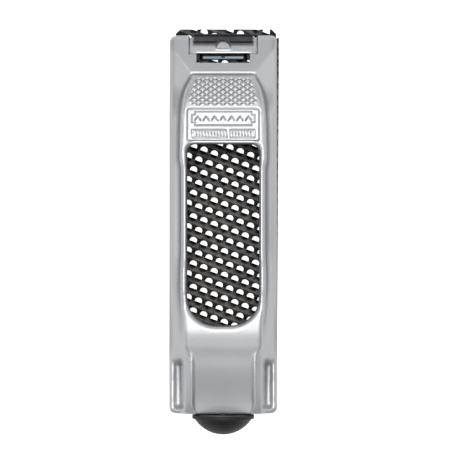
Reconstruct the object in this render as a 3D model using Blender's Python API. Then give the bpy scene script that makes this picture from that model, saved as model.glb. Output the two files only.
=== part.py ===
"""Pocket rasp plane: a hollow die-cast body over a perforated, toothed blade.

The blade is hooked over a ledge at the front of the body. At the rear a claw pulls it tight,
drawn by a screw and a domed knob. All sizes below are in millimetres; MM turns them into metres.

Frame: +Y points forward (the way the tool cuts), +X to the right, +Z up. The origin is under the
middle of the tool, on the plane of the tooth tips. Run: blender --background --python part.py
"""

import math

import bmesh
import bpy
from mathutils import Vector
from mathutils.geometry import delaunay_2d_cdt

MM = 0.001
GAP = 0.2  # clearance kept between faces that touch on the real tool

# Blade: a pressed steel sheet with upturned sides.
BLADE_FRONT = 79.4
BLADE_LENGTH = 139.7
BLADE_REAR = BLADE_FRONT - BLADE_LENGTH
BLADE_LEFT = -19.9
BLADE_RIGHT = 22.0
SHEET = 0.7
TOOTH = 0.9  # how far each tooth stands below the sheet
SHEET_TOP = TOOTH + SHEET
FLANGE_TOP = 5.5

# Tooth pattern: two steps of a slanted lattice, and the opening in front of each tooth.
STEP_ACROSS = Vector((4.08, -1.5))
STEP_ALONG = Vector((2.05, 3.885))
TOOTH_SLANT = math.atan2(STEP_ACROSS.y, STEP_ACROSS.x)
LATTICE_START = Vector((-11.7, -3.1))
HOLE_HALF_WIDTH = 1.5
HOLE_HALF_FRONT = 0.75
HOLE_DEPTH = 2.0
EDGE_MARGIN = 0.8
BEND_REACH = 0.65  # where the sheet is flat again, behind and beside a cutting edge

# Body casting.
RIM = SHEET_TOP + GAP
BODY_HALF = 21.05
BODY_FRONT = 76.7
BODY_REAR = -71.2
CORNER_RADIUS = 2.2
SKIN = 2.8
LOW_HOLLOW_HALF = 16.9
TALL_HOLLOW_HALF = 13.2

# Front ledge, its slot, the recess between the ears and the locating boss.
LEDGE_BACK = 69.4
LEDGE_FRONT = 75.9
LEDGE_TOP = 6.6
LEDGE_UNDER = 3.3
RECESS_HALF = 13.3
SLOT_HALF = 10.3
SLOT_BACK = 65.5
BOSS_RADIUS = 2.6
BOSS_TOP = 7.7
BOSS_Y = 71.7

# Chip window in the top of the body.
WINDOW_HALF = 14.0
WINDOW_FRONT = 33.2
WINDOW_REAR = -36.4
WINDOW_FRONT_RADIUS = 3.8
WINDOW_REAR_RADIUS = 11.5

# Hook straps, spot-welded on the blade.
STRAP = 0.9
STRAP_HALF = 12.0
STRAP_TOP_END = 73.0
STRAP_FOOT_END = 67.2
NOTCH_BASE_HALF = 3.3
NOTCH_TIP_HALF = 2.3
NOTCH_DEPTH = 1.9
REAR_LIP_Y = -58.4
REAR_LIP_TOP = 7.0
REAR_FOOT_END = -50.0

# Tensioner.
AXIS_Z = 13.3
SCREW_RADIUS = 2.5
SCREW_TIP = -51.5
GROOVE_RADIUS = 2.0
NUT_HALF = 3.5
NUT_LENGTH = 4.0
CLAW_HALF = 9.3
CLAW_PLATE_BACK = -63.0
CLAW_THICK = 2.0
CLAW_TIP_FACE = REAR_LIP_Y + STRAP + 2 * GAP + 0.2
REAR_WALL = 3.6
WASHER_RADIUS = 5.2
WASHER_THICK = 0.8
WASHER_SEAT = 1.0
KNOB_FACE = BODY_REAR - 0.25
KNOB_RADIUS = 12.1
KNOB_DOME_RADIUS = 10.95
KNOB_END = -79.4
HEX_RADIUS = 4.6
HEX_LENGTH = 3.4
ROUND = 32

# Half-sections of the body, front to rear. Each row is y, then the x and z of: the end of the top
# face, its edge or ridge, the foot of the spine, the shoulder, the pocket floor and the outer rail.
# The first z is also the height at the middle.
STATIONS = (
    (76.7, 10.4, 7.4, 12.0, 7.4, 12.7, 7.3, 16.0, 7.3, 18.0, 7.1, 19.6, 6.8),
    (75.9, 10.4, 8.1, 12.0, 8.1, 12.7, 8.1, 16.0, 8.0, 18.0, 7.8, 19.6, 7.4),
    (68.3, 10.4, 10.4, 12.0, 10.4, 12.7, 10.4, 16.0, 10.3, 17.7, 10.2, 19.6, 9.4),
    (60.6, 10.4, 12.5, 12.0, 12.4, 12.7, 12.2, 16.0, 11.2, 18.0, 10.5, 19.6, 9.9),
    (59.9, 10.5, 22.1, 12.0, 21.8, 12.7, 12.3, 16.0, 11.4, 18.0, 10.7, 19.6, 10.1),
    (58.9, 10.9, 22.3, 12.4, 22.0, 13.1, 12.4, 16.1, 11.6, 18.0, 10.9, 19.6, 10.3),
    (57.3, 11.6, 23.8, 13.2, 23.4, 13.9, 12.8, 16.6, 12.2, 18.2, 11.6, 19.6, 11.0),
    (54.7, 12.8, 25.2, 14.4, 24.8, 15.1, 13.2, 17.0, 12.7, 18.4, 12.1, 19.7, 11.5),
    (50.0, 13.8, 27.1, 15.4, 26.7, 16.1, 13.6, 17.4, 13.1, 18.5, 12.6, 19.7, 12.0),
    (44.5, 14.3, 28.0, 15.9, 27.6, 16.6, 13.8, 17.5, 13.3, 18.6, 12.7, 19.8, 12.1),
    (28.5, 14.7, 28.2, 16.3, 27.8, 17.0, 14.0, 17.8, 13.5, 18.7, 12.9, 19.8, 12.2),
    (23.5, 14.6, 28.2, 15.7, 27.8, 16.4, 14.1, 17.5, 13.6, 18.6, 13.0, 19.8, 12.3),
    (-7.0, 14.6, 28.2, 15.7, 27.8, 16.4, 14.3, 17.5, 13.8, 18.6, 13.1, 19.8, 12.4),
    (-19.0, 14.7, 28.2, 16.0, 27.7, 16.7, 15.4, 17.7, 14.8, 18.8, 13.9, 19.9, 12.9),
    (-30.0, 14.4, 28.1, 15.2, 27.6, 15.9, 18.9, 17.6, 17.6, 18.9, 16.1, 19.9, 14.0),
    (-38.0, 13.4, 27.8, 14.7, 27.2, 15.4, 22.0, 17.4, 20.4, 18.9, 18.1, 19.9, 14.9),
    (-44.0, 13.1, 26.7, 14.5, 26.2, 15.1, 23.7, 17.0, 21.4, 18.7, 18.6, 19.9, 15.3),
    (-49.0, 11.2, 25.1, 12.4, 25.9, 14.9, 23.4, 16.8, 19.6, 18.5, 17.3, 19.8, 15.2),
    (-52.5, 11.1, 24.0, 12.2, 25.3, 15.1, 22.6, 16.5, 14.0, 18.2, 13.6, 19.6, 15.0),
    (-66.5, 11.1, 20.6, 12.2, 21.9, 15.1, 19.0, 16.5, 13.2, 18.2, 13.0, 19.6, 14.6),
    (-68.3, 10.6, 20.3, 11.9, 21.4, 15.0, 18.6, 16.5, 13.6, 18.2, 13.3, 19.6, 14.5),
    (-69.6, 9.8, 20.1, 11.5, 20.7, 14.8, 18.3, 16.5, 16.0, 18.2, 15.2, 19.6, 14.3),
    (-71.2, 9.4, 19.9, 11.2, 20.1, 14.6, 17.8, 16.5, 15.3, 18.2, 14.6, 19.5, 13.8),
)


def clear_scene():
    """Removes whatever the file holds, so that only the tool is left."""
    for obj in list(bpy.data.objects):
        bpy.data.objects.remove(obj)


def make_material(name, colour, roughness, metallic):
    """A Principled material of one colour."""
    material = bpy.data.materials.new(name)
    material.use_nodes = True
    shader = material.node_tree.nodes["Principled BSDF"]
    shader.inputs["Base Color"].default_value = (*colour, 1.0)
    shader.inputs["Roughness"].default_value = roughness
    shader.inputs["Metallic"].default_value = metallic
    return material


def object_from(name, bm, material=None, smooth_angle=35.0):
    """Turns a bmesh in millimetres into a linked object in metres."""
    bmesh.ops.scale(bm, vec=(MM, MM, MM), verts=bm.verts)
    bmesh.ops.recalc_face_normals(bm, faces=bm.faces)
    mesh = bpy.data.meshes.new(name)
    bm.to_mesh(mesh)
    bm.free()
    mesh.shade_smooth()
    mesh.set_sharp_from_angle(angle=math.radians(smooth_angle))
    obj = bpy.data.objects.new(name, mesh)
    bpy.context.scene.collection.objects.link(obj)
    if material:
        mesh.materials.append(material)
    return obj


def loft(bm, sections):
    """Joins closed loops of equal length into one closed skin with flat ends."""
    rings = [[bm.verts.new(point) for point in section] for section in sections]
    count = len(rings[0])
    for near, far in zip(rings, rings[1:]):
        for i in range(count):
            j = (i + 1) % count
            bm.faces.new((near[i], near[j], far[j], far[i]))
    bm.faces.new(rings[0])
    bm.faces.new(list(reversed(rings[-1])))
    return bm


def prism(outline, low, high, axis="Z"):
    """A closed prism: outline lies across the axis and runs from low to high along it."""
    place = {
        "X": lambda p, h: (h, p[0], p[1]),
        "Y": lambda p, h: (p[0], h, p[1]),
        "Z": lambda p, h: (p[0], p[1], h),
    }[axis]
    return loft(bmesh.new(), [[place(p, h) for p in outline] for h in (low, high)])


def box(low, high):
    """A closed box between two corners."""
    outline = ((low[0], low[1]), (high[0], low[1]), (high[0], high[1]), (low[0], high[1]))
    return prism(outline, low[2], high[2])


def circle(radius, centre=(0.0, 0.0), count=ROUND, turn=0.0):
    """Points round a circle."""
    angles = [turn + 2 * math.pi * i / count for i in range(count)]
    return [(centre[0] + radius * math.cos(a), centre[1] + radius * math.sin(a)) for a in angles]


def turned(profile, count=ROUND):
    """A solid turned about the tensioner's axis. profile is (radius, y), from front to rear."""
    bm = bmesh.new()
    loops = []
    for radius, y in profile:
        ring = circle(radius, (0.0, AXIS_Z), count)
        loops.append([(x, y, z) for x, z in ring])
    return loft(bm, loops)


def cut(target, bm, name, operation="DIFFERENCE"):
    """Adds a Boolean on target with a hidden helper made from bm."""
    helper = object_from(name, bm)
    helper.hide_render = True
    helper.display_type = "WIRE"
    modifier = target.modifiers.new(name, "BOOLEAN")
    modifier.operation = operation
    modifier.object = helper
    return helper


def slope_between(widths, rises, i):
    """Slope at knot i that never overshoots its neighbours."""
    if i in (0, len(widths)):
        return 0.0
    before, after = rises[i - 1] / widths[i - 1], rises[i] / widths[i]
    if before * after <= 0:
        return 0.0
    first, second = 2 * widths[i] + widths[i - 1], widths[i] + 2 * widths[i - 1]
    return (first + second) / (first / before + second / after)


def station_at(y):
    """The body's section values at y, smoothly between the stations."""
    ys = [row[0] for row in STATIONS]
    y = min(max(y, ys[-1]), ys[0])
    k = next(i for i in range(len(ys) - 1) if y >= ys[i + 1])
    widths = [a - b for a, b in zip(ys, ys[1:])]
    t = (ys[k] - y) / widths[k]
    values = []
    for column in range(1, len(STATIONS[0])):
        line = [row[column] for row in STATIONS]
        rises = [b - a for a, b in zip(line, line[1:])]
        m0 = slope_between(widths, rises, k) * widths[k]
        m1 = slope_between(widths, rises, k + 1) * widths[k]
        a, b = line[k], line[k + 1]
        smooth = (2 * t**3 - 3 * t**2 + 1) * a + (t**3 - 2 * t**2 + t) * m0
        values.append(smooth + (3 * t**2 - 2 * t**3) * b + (t**3 - t**2) * m1)
    return values


def half_width_at(y):
    """Half the body's width, drawn in round its vertical corners."""
    reach = min(BODY_FRONT - y, y - BODY_REAR)
    if reach >= CORNER_RADIUS:
        return BODY_HALF
    drop = CORNER_RADIUS - reach
    return BODY_HALF - CORNER_RADIUS + math.sqrt(max(CORNER_RADIUS**2 - drop**2, 0.0))


def rounded(points, radius, count):
    """The open polyline with each inner corner replaced by a small curve of count + 1 points."""
    result = [points[0]]
    for before, corner, after in zip(points, points[1:], points[2:]):
        before, corner, after = Vector(before), Vector(corner), Vector(after)
        start = corner + (before - corner) * min(radius / (before - corner).length, 0.45)
        end = corner + (after - corner) * min(radius / (after - corner).length, 0.45)
        for i in range(count + 1):
            t = i / count
            result.append(start * (1 - t) ** 2 + corner * 2 * t * (1 - t) + end * t**2)
    result.append(points[-1])
    return [tuple(p) for p in result]


def body_section(y, radius=0.7, count=1):
    """The body's outer loop across y, from the right rim over the top to the left rim."""
    values = station_at(y)
    width = half_width_at(y)
    shrink = width / BODY_HALF
    spots = list(zip(values[0::2], values[1::2]))
    spots[3:] = [(x * shrink, z) for x, z in spots[3:]]
    half = [(0.0, values[1])] + spots
    half += [(width, spots[-1][1] - 1.5), (width, RIM)]
    half = rounded(half, radius, count)
    right = [(x, z) for x, z in reversed(half)]
    left = [(-x, z) for x, z in half[1:]]
    return [(x, y, z) for x, z in right + left]


def window_outline(inset=0.0, count=8):
    """The chip window's outline, seen from above."""
    half = WINDOW_HALF - inset
    spots = []
    for x_side, y_edge, y_side, radius, start in (
        (1, WINDOW_FRONT - inset, -1, WINDOW_FRONT_RADIUS, 0.0),
        (-1, WINDOW_FRONT - inset, -1, WINDOW_FRONT_RADIUS, 90.0),
        (-1, WINDOW_REAR + inset, 1, WINDOW_REAR_RADIUS, 180.0),
        (1, WINDOW_REAR + inset, 1, WINDOW_REAR_RADIUS, 270.0),
    ):
        centre = (x_side * (half - radius), y_edge + y_side * radius)
        for i in range(count + 1):
            angle = math.radians(start + 90.0 * i / count)
            spots.append((centre[0] + radius * math.cos(angle), centre[1] + radius * math.sin(angle)))
    return spots


def cavity_sections():
    """Loops of the hollow under the shoulders, and of the taller one inside the spine."""
    low, tall = [], []
    for y in (66.9, 61.5, 52.0, 44.0, 24.0, -10.0, -20.0, -30.0, -38.0, -46.0, -54.0, -68.0):
        values = station_at(y)
        ceiling = min(values[11], values[9]) - SKIN + 0.3
        half = LOW_HOLLOW_HALF
        low.append([(half, y, -1.0), (half, y, ceiling), (-half, y, ceiling), (-half, y, -1.0)])
    for y in (57.1, 52.0, 44.0, 24.0, -10.0, -20.0, -30.0, -38.0, -46.0, -54.0, -62.0, -67.6):
        values = station_at(y)
        half = min(values[2] - 2.2, TALL_HOLLOW_HALF)
        ceiling = values[1] - SKIN
        loop = [(half, 1.0), (half, ceiling - 1.5), (half - 1.5, ceiling)]
        loop += [(-x, z) for x, z in reversed(loop)]
        tall.append([(x, y, z) for x, z in loop])
    return low, tall


def build_body(material):
    """The hollow casting with its ledge, ears, slot, window and screw hole."""
    steps = (76.3, 74.5, 71.0, 64.0, 59.5, 52.4, 47.0, 36.0, 8.0, -13.0, -24.5, -34.0, -41.0)
    steps += (-46.2, -50.4, -56.0, -61.0, -64.0, -67.4, -69.0, -70.4)
    ys = sorted({row[0] for row in STATIONS} | set(steps), reverse=True)
    body = object_from("body_casting", loft(bmesh.new(), [body_section(y) for y in ys]), material)
    low, tall = cavity_sections()
    cut(body, loft(bmesh.new(), low), "cut_low_hollow")
    cut(body, loft(bmesh.new(), tall), "cut_tall_hollow")
    cut(body, prism(window_outline(), 11.0, 32.0), "cut_window")
    step = [
        (LEDGE_BACK - 0.4, LEDGE_TOP),
        (LEDGE_FRONT, LEDGE_TOP),
        (LEDGE_FRONT, 0.0),
        (80.0, 0.0),
        (80.0, 20.0),
        (LEDGE_BACK - 0.4, 20.0),
    ]
    cut(body, prism(step, -RECESS_HALF, RECESS_HALF, "X"), "cut_recess")
    boss = prism(circle(BOSS_RADIUS, (0.0, BOSS_Y), 24), LEDGE_TOP - 1.2, BOSS_TOP)
    cut(body, boss, "add_boss", "UNION")
    slot = box((-SLOT_HALF, SLOT_BACK, 0.5), (SLOT_HALF, LEDGE_BACK, 20.0))
    cut(body, slot, "cut_slot")
    under = box((-RECESS_HALF + 0.5, SLOT_BACK - 1.5, 0.5), (RECESS_HALF - 0.5, 80.0, LEDGE_UNDER))
    cut(body, under, "cut_under_ledge")
    rebate = box((-25.0, BLADE_REAR - 1.0, 0.0), (BLADE_LEFT + SHEET + 0.4, 80.0, FLANGE_TOP + 0.4))
    cut(body, rebate, "cut_left_rebate")
    bore = prism(circle(SCREW_RADIUS + 0.35, (0.0, AXIS_Z)), BODY_REAR - 2.0, -66.0, "Y")
    cut(body, bore, "cut_screw_hole")
    seat_front = BODY_REAR + WASHER_SEAT
    seat = prism(circle(WASHER_RADIUS + 0.3, (0.0, AXIS_Z)), BODY_REAR - 2.0, seat_front, "Y")
    cut(body, seat, "cut_washer_seat")
    return body


def hole_corners(centre):
    """Corners of one opening: the cutting edge first, then its narrower front."""
    turn = TOOTH_SLANT
    along = Vector((math.cos(turn), math.sin(turn)))
    forward = Vector((-math.sin(turn), math.cos(turn)))
    rear = centre - forward * HOLE_DEPTH / 2
    front = centre + forward * HOLE_DEPTH / 2
    return (
        rear - along * HOLE_HALF_WIDTH,
        rear + along * HOLE_HALF_WIDTH,
        front + along * HOLE_HALF_FRONT,
        front - along * HOLE_HALF_FRONT,
    )


def bend_ends(centre):
    """Two points behind one cutting edge where the pressing ends."""
    turn = TOOTH_SLANT
    along = Vector((math.cos(turn), math.sin(turn)))
    forward = Vector((-math.sin(turn), math.cos(turn)))
    rear = centre - forward * (HOLE_DEPTH / 2 + BEND_REACH)
    reach = along * (HOLE_HALF_WIDTH + BEND_REACH / 2)
    return rear - reach, rear + reach


def tooth_centres():
    """Middle of every opening that fits whole on the sheet."""
    left, right = BLADE_LEFT + SHEET + EDGE_MARGIN, BLADE_RIGHT - SHEET - EDGE_MARGIN
    rear, front = BLADE_REAR + EDGE_MARGIN, BLADE_FRONT - EDGE_MARGIN
    centres = []
    for n in range(-40, 41):
        for m in range(-40, 41):
            centre = LATTICE_START + STEP_ACROSS * n + STEP_ALONG * m
            corners = hole_corners(centre) + bend_ends(centre)
            if all(left < c.x < right and rear < c.y < front for c in corners):
                centres.append(centre)
    return centres


def build_blade(material):
    """The toothed sheet. Each opening's rear edge is pressed down to make its tooth."""
    corners = [
        Vector((BLADE_LEFT, BLADE_REAR)),
        Vector((BLADE_RIGHT, BLADE_REAR)),
        Vector((BLADE_RIGHT, BLADE_FRONT)),
        Vector((BLADE_LEFT, BLADE_FRONT)),
    ]
    points = list(corners)
    loops = [[0, 1, 2, 3]]
    pressed = set()
    for centre in tooth_centres():
        first = len(points)
        points.extend(hole_corners(centre))
        loops.append([first, first + 1, first + 2, first + 3])
        pressed.update((first, first + 1))
        points.extend(bend_ends(centre))
    for x in (BLADE_LEFT + SHEET, BLADE_RIGHT - SHEET):
        first = len(points)
        points.extend((Vector((x, BLADE_REAR)), Vector((x, BLADE_FRONT))))
        loops.append([first, first + 1])
    edges = [(loop[i], loop[(i + 1) % len(loop)]) for loop in loops for i in range(len(loop))]
    out_points, _, out_faces, sources, _, _ = delaunay_2d_cdt(points, edges, [], 1, 1e-5)
    is_pressed = {new for new, olds in enumerate(sources) if pressed & set(olds)}
    hole_sets = [set(loop) for loop in loops[1:-2]]
    member = {old: k for k, loop in enumerate(hole_sets) for old in loop}
    bm = bmesh.new()
    sink = [TOOTH if i in is_pressed else 0.0 for i in range(len(out_points))]
    top = [bm.verts.new((p.x, p.y, SHEET_TOP - sink[i])) for i, p in enumerate(out_points)]
    bottom = [bm.verts.new((p.x, p.y, TOOTH - sink[i])) for i, p in enumerate(out_points)]
    boundary = {}
    for face in out_faces:
        owners = [{member.get(old) for old in sources[i]} for i in face]
        shared = set.intersection(*owners) - {None}
        if shared:
            continue
        bm.faces.new([top[i] for i in face])
        bm.faces.new([bottom[i] for i in reversed(face)])
        for i, a in enumerate(face):
            b = face[(i + 1) % len(face)]
            if (b, a) in boundary:
                del boundary[(b, a)]
            else:
                boundary[(a, b)] = True
    for a, b in boundary:
        bm.faces.new((top[b], top[a], bottom[a], bottom[b]))
    blade = object_from("blade", bm, material, 30.0)
    flange_low = TOOTH + 0.35
    for side, low_x in (("left", BLADE_LEFT), ("right", BLADE_RIGHT - SHEET)):
        inset = 0.01
        flange = box(
            (low_x + inset, BLADE_REAR + inset, flange_low),
            (low_x + SHEET - inset, BLADE_FRONT - 3.2, FLANGE_TOP),
        )
        cut(blade, flange, f"add_{side}_flange", "UNION")
    return blade


def build_front_strap(material):
    """The hook that wraps the body's ledge: foot on the sheet, front wall, folded top."""
    low = SHEET_TOP + GAP
    inner = LEDGE_FRONT + 0.3
    outer = inner + STRAP
    top = LEDGE_TOP + GAP + STRAP
    bend = 0.9
    outline = [
        (STRAP_FOOT_END, low),
        (outer - bend, low),
        (outer, low + bend),
        (outer, top - bend),
        (outer - bend, top),
        (STRAP_TOP_END, top),
        (STRAP_TOP_END, top - STRAP),
        (inner - 0.2, top - STRAP),
        (inner, top - STRAP - 0.2),
        (inner, low + STRAP + 0.2),
        (inner - 0.2, low + STRAP),
        (STRAP_FOOT_END, low + STRAP),
    ]
    strap = object_from("front_hook_strap", prism(outline, -STRAP_HALF, STRAP_HALF, "X"), material)
    notch = [
        (-NOTCH_BASE_HALF, STRAP_TOP_END - 1.0),
        (NOTCH_BASE_HALF, STRAP_TOP_END - 1.0),
        (NOTCH_BASE_HALF, STRAP_TOP_END + 0.3),
        (NOTCH_TIP_HALF, STRAP_TOP_END + NOTCH_DEPTH),
        (-NOTCH_TIP_HALF, STRAP_TOP_END + NOTCH_DEPTH),
        (-NOTCH_BASE_HALF, STRAP_TOP_END + 0.3),
    ]
    cut(strap, prism(notch, LEDGE_TOP - 0.6, top + 1.0), "cut_strap_notch")
    return strap


def build_rear_strap(material):
    """The upstanding lip that the claw pulls on."""
    low = SHEET_TOP + GAP
    back = REAR_LIP_Y
    outline = [
        (REAR_FOOT_END, low),
        (REAR_FOOT_END, low + STRAP),
        (back + STRAP + 0.3, low + STRAP),
        (back + STRAP, low + STRAP + 0.3),
        (back + STRAP, REAR_LIP_TOP),
        (back, REAR_LIP_TOP),
        (back, low + 0.9),
        (back + 0.9, low),
    ]
    return object_from("rear_hook_strap", prism(outline, -STRAP_HALF, STRAP_HALF, "X"), material)


def build_claw(material):
    """The bent plate that slides inside the rear of the body and hooks over the lip."""
    back = CLAW_PLATE_BACK
    arm_low = REAR_LIP_TOP + 0.4
    tip_low = SHEET_TOP + GAP + STRAP + 0.5
    tip_back = CLAW_TIP_FACE
    tip_front = tip_back + CLAW_THICK
    outline = [
        (back, arm_low),
        (tip_back, arm_low),
        (tip_back, tip_low),
        (tip_front, tip_low),
        (tip_front, arm_low + CLAW_THICK - 0.6),
        (tip_front - 0.6, arm_low + CLAW_THICK),
        (back + CLAW_THICK, arm_low + CLAW_THICK),
        (back + CLAW_THICK, AXIS_Z + 3.7),
        (back, AXIS_Z + 3.7),
    ]
    claw = object_from("tension_claw", prism(outline, -CLAW_HALF, CLAW_HALF, "X"), material)
    hole = prism(circle(SCREW_RADIUS + 0.4, (0.0, AXIS_Z)), back - 1.0, back + CLAW_THICK + 1.0, "Y")
    cut(claw, hole, "cut_claw_hole")
    return claw


def build_nut(material):
    """The square nut that the screw draws along, kept from turning by the claw's arm."""
    low = CLAW_PLATE_BACK + CLAW_THICK + GAP
    corners = [(-NUT_HALF, -NUT_HALF), (NUT_HALF, -NUT_HALF), (NUT_HALF, NUT_HALF), (-NUT_HALF, NUT_HALF)]
    outline = [(x, z + AXIS_Z) for x, z in corners]
    nut = object_from("claw_nut", prism(outline, low, low + NUT_LENGTH, "Y"), material)
    hole = prism(circle(SCREW_RADIUS + 0.1, (0.0, AXIS_Z)), low - 1.0, low + NUT_LENGTH + 1.0, "Y")
    cut(nut, hole, "cut_nut_thread")
    return nut


def build_screw(material):
    """The tension screw: hexagon head in the knob, ring groove, shank."""
    wall_inside = BODY_REAR + REAR_WALL
    groove = wall_inside + 0.2
    head = KNOB_FACE - 0.3
    profile = [
        (SCREW_RADIUS - 0.6, SCREW_TIP),
        (SCREW_RADIUS, SCREW_TIP - 0.6),
        (SCREW_RADIUS, groove + 1.0),
        (GROOVE_RADIUS, groove + 1.0),
        (GROOVE_RADIUS, groove),
        (SCREW_RADIUS, groove),
        (SCREW_RADIUS, head - 1.0),
    ]
    screw = object_from("tension_screw", turned(profile), material)
    hexagon = prism(circle(HEX_RADIUS, (0.0, AXIS_Z), 6), head - HEX_LENGTH, head, "Y")
    cut(screw, hexagon, "add_hex_head", "UNION")
    return screw


def build_retaining_ring(material):
    """The open ring in the screw's groove, just inside the rear wall."""
    low = BODY_REAR + REAR_WALL + 0.3
    inner, outer, opening = GROOVE_RADIUS + 0.15, 3.8, math.radians(70)
    angles = [-math.pi / 2 + opening / 2 + (2 * math.pi - opening) * i / 24 for i in range(25)]
    outline = [(outer * math.cos(a), AXIS_Z + outer * math.sin(a)) for a in angles]
    outline += [(inner * math.cos(a), AXIS_Z + inner * math.sin(a)) for a in reversed(angles)]
    return object_from("retaining_ring", prism(outline, low, low + 0.8, "Y"), material)


def build_washer(material):
    """The thrust washer, let into the rear wall behind the knob."""
    front = BODY_REAR + WASHER_SEAT - GAP
    disc = prism(circle(WASHER_RADIUS, (0.0, AXIS_Z)), front - WASHER_THICK, front, "Y")
    washer = object_from("thrust_washer", disc, material)
    hole = prism(circle(SCREW_RADIUS + 0.3, (0.0, AXIS_Z)), front - 3.0, front + 1.0, "Y")
    cut(washer, hole, "cut_washer_hole")
    return washer


def build_knob(material):
    """The domed knob: a flange against the washer, a small step, then a spherical end."""
    face = KNOB_FACE
    step = face - 1.8
    profile = [(KNOB_RADIUS - 0.5, face), (KNOB_RADIUS, face - 0.4), (KNOB_RADIUS - 0.3, step)]
    profile.append((KNOB_DOME_RADIUS, step - 0.05))
    depth = step - 0.05 - KNOB_END
    sphere = (KNOB_DOME_RADIUS**2 + depth**2) / (2 * depth)
    widest = math.asin(KNOB_DOME_RADIUS / sphere)
    for i in range(1, 8):
        angle = widest * (1 - i / 7.2)
        profile.append((sphere * math.sin(angle), KNOB_END + sphere * (1 - math.cos(angle))))
    profile[-1] = (profile[-1][0], KNOB_END)
    knob = object_from("tension_knob", turned(profile, 36), material)
    pocket_end = face - HEX_LENGTH - 0.8
    pocket = prism(circle(HEX_RADIUS + 0.3, (0.0, AXIS_Z), 6), pocket_end, face + 1.0, "Y")
    cut(knob, pocket, "cut_hex_pocket")
    return knob


def main():
    """Builds the ten pieces."""
    clear_scene()
    cast_metal = make_material("cast_metal", (0.62, 0.63, 0.65), 0.38, 0.9)
    blade_steel = make_material("blade_steel", (0.06, 0.06, 0.065), 0.35, 0.9)
    plated_steel = make_material("plated_steel", (0.55, 0.55, 0.53), 0.3, 1.0)
    black_plastic = make_material("black_plastic", (0.02, 0.02, 0.02), 0.4, 0.0)
    build_body(cast_metal)
    build_blade(blade_steel)
    build_front_strap(blade_steel)
    build_rear_strap(blade_steel)
    build_claw(plated_steel)
    build_nut(plated_steel)
    build_screw(plated_steel)
    build_retaining_ring(blade_steel)
    build_washer(plated_steel)
    build_knob(black_plastic)


main()
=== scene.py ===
"""Pocket rasp plane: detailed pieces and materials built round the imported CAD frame.

Sizes are in millimetres until a mesh is made. The casting is worked out as a field on a grid of
small cells, so that its edges and inside corners come out rounded like a real die casting.
"""

import math

import bmesh
import bpy
import numpy as np
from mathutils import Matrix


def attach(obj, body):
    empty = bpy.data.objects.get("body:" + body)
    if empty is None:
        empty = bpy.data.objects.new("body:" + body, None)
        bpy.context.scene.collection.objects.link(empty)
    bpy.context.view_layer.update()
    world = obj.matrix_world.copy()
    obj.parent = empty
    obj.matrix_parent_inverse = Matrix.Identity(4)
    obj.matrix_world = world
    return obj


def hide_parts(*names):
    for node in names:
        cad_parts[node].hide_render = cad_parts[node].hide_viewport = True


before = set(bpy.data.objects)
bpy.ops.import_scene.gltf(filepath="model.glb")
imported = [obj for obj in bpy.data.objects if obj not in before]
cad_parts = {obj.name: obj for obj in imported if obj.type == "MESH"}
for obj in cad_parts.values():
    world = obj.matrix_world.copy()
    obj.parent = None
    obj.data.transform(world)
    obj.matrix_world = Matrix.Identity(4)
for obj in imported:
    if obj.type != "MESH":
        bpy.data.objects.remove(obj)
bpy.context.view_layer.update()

import openvdb
from mathutils import Vector
from mathutils.geometry import delaunay_2d_cdt

MM = 0.001
CELL = 0.3

# Body casting.
RIM = 1.8
BODY_HALF = 21.05
BODY_FRONT = 76.7
BODY_REAR = -71.2
CORNER_RADIUS = 2.4
WINDOW_HALF = 14.0
WINDOW_FRONT = 33.2
WINDOW_REAR = -36.4
AXIS_Z = 13.3
GRID_LOW = (-22.2, -72.6, 0.6)
GRID_HIGH = (22.2, 77.4, 29.8)
NOSE_Y = 68.3
NOSE_Z = 10.4
NOSE_SLOPE = 0.36
SIDE_PLANE_SLOPE = 0.04
CREASE_X = 12.6
CREASE_Y = 61.7
CREASE_RUN = 1.294
SPINE_FRONT = 61.0
RECESS_HALF = 13.4
LEDGE_Y = 72.0
LEDGE_SLOPE = 0.30
BOSS_Y = 71.7
BOSS_RADIUS = 2.5
BOSS_FOOT = 5.0
BOSS_TOP = 7.3
TOP_FLOOR = 19.0

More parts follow.
